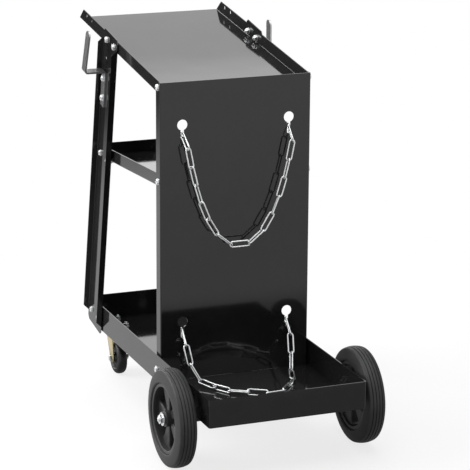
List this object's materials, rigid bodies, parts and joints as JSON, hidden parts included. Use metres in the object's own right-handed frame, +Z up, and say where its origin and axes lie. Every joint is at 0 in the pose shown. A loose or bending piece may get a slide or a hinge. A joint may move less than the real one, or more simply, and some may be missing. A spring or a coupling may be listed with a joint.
{
  "type": "welding cart",
  "caption": "Rolling cart with sloping top shelf, middle shelf and open bottom tray, a cylinder bay with chains, fixed rear wheels and swivel front casters.",
  "frame": {"origin": "on the floor under the middle of the bounding box", "axes": "+Z up, +Y towards the cylinder bay and the large wheels, +X towards the side called left"},
  "size_m": [0.402, 0.7076, 0.6944],
  "materials": {
    "tray_paint": "gloss black powder coat",
    "hook_steel": "dull plated steel",
    "tyre_rubber": "matt black rubber",
    "rim_plastic": "black moulded plastic",
    "caster_plastic": "black moulded plastic",
    "zinc": "bright zinc plate",
    "yellow_zinc": "yellow passivated zinc plate"
  },
  "bodies": {
    "frame": {"bottom_tray": "tray_paint", "rear_panel": "tray_paint", "middle_shelf": "tray_paint", "top_shelf": "tray_paint", "front_leg_left": "tray_paint", "cable_hook_left": "hook_steel", "front_leg_right": "tray_paint", "cable_hook_right": "hook_steel", "axle": "zinc", "axle_nut_left": "zinc", "axle_clamp_left": "tray_paint", "axle_nut_right": "zinc", "axle_clamp_right": "tray_paint", "caster_plate_left": "yellow_zinc", "caster_plate_right": "yellow_zinc", "upper_chain_anchor_left": "zinc", "upper_chain_stop_left": "zinc", "upper_chain_anchor_right": "zinc", "upper_chain_stop_right": "zinc", "lower_chain_anchor_left": "zinc", "lower_chain_stop_left": "zinc", "lower_chain_anchor_right": "zinc", "lower_chain_stop_right": "zinc"},
    "rear_wheel_left": {"rear_tyre_left": "tyre_rubber", "rear_rim_left": "rim_plastic"},
    "rear_wheel_right": {"rear_tyre_right": "tyre_rubber", "rear_rim_right": "rim_plastic"},
    "caster_swivel_left": {"caster_fork_left": "yellow_zinc", "caster_bolt_left": "zinc"},
    "caster_wheel_left": {"caster_wheel_left": "caster_plastic"},
    "caster_swivel_right": {"caster_fork_right": "yellow_zinc", "caster_bolt_right": "zinc"},
    "caster_wheel_right": {"caster_wheel_right": "caster_plastic"},
    "upper_chain": {"upper_chain_link_01": "zinc", "upper_chain_link_02": "zinc", "upper_chain_link_03": "zinc", "upper_chain_link_04": "zinc", "upper_chain_link_05": "zinc", "upper_chain_link_06": "zinc", "upper_chain_link_07": "zinc", "upper_chain_link_08": "zinc", "upper_chain_link_09": "zinc", "upper_chain_link_10": "zinc", "upper_chain_link_11": "zinc", "upper_chain_link_12": "zinc", "upper_chain_link_13": "zinc"},
    "lower_chain": {"lower_chain_link_01": "zinc", "lower_chain_link_02": "zinc", "lower_chain_link_03": "zinc", "lower_chain_link_04": "zinc", "lower_chain_link_05": "zinc", "lower_chain_link_06": "zinc", "lower_chain_link_07": "zinc", "lower_chain_link_08": "zinc", "lower_chain_link_09": "zinc", "lower_chain_link_10": "zinc", "lower_chain_link_11": "zinc", "lower_chain_link_12": "zinc"}
  },
  "joints": [
    {"name": "rear_wheel_left_spin", "type": "hinge", "parent": "frame", "child": "rear_wheel_left", "pos_m": [0.1738, 0.25468, 0.086], "axis": [1, 0, 0], "continuous": true},
    {"name": "caster_left_swivel", "type": "hinge", "parent": "frame", "child": "caster_swivel_left", "pos_m": [0.104, -0.25972, 0.09], "axis": [0, 0, 1], "continuous": true},
    {"name": "caster_left_spin", "type": "hinge", "parent": "caster_swivel_left", "child": "caster_wheel_left", "pos_m": [0.104, -0.24472, 0.0315], "axis": [1, 0, 0], "continuous": true},
    {"name": "rear_wheel_right_spin", "type": "hinge", "parent": "frame", "child": "rear_wheel_right", "pos_m": [-0.1738, 0.25468, 0.086], "axis": [1, 0, 0], "continuous": true},
    {"name": "caster_right_swivel", "type": "hinge", "parent": "frame", "child": "caster_swivel_right", "pos_m": [-0.104, -0.25972, 0.09], "axis": [0, 0, 1], "continuous": true},
    {"name": "caster_right_spin", "type": "hinge", "parent": "caster_swivel_right", "child": "caster_wheel_right", "pos_m": [-0.104, -0.24472, 0.0315], "axis": [1, 0, 0], "continuous": true},
    {"name": "upper_chain_swing", "type": "hinge", "parent": "frame", "child": "upper_chain", "pos_m": [0, 0.11998, 0.52245], "axis": [1, 0, 0], "range_deg": [-2, 60]},
    {"name": "lower_chain_swing", "type": "hinge", "parent": "frame", "child": "lower_chain", "pos_m": [0, 0.11998, 0.16695], "axis": [1, 0, 0], "range_deg": [0, 40]}
  ]
}
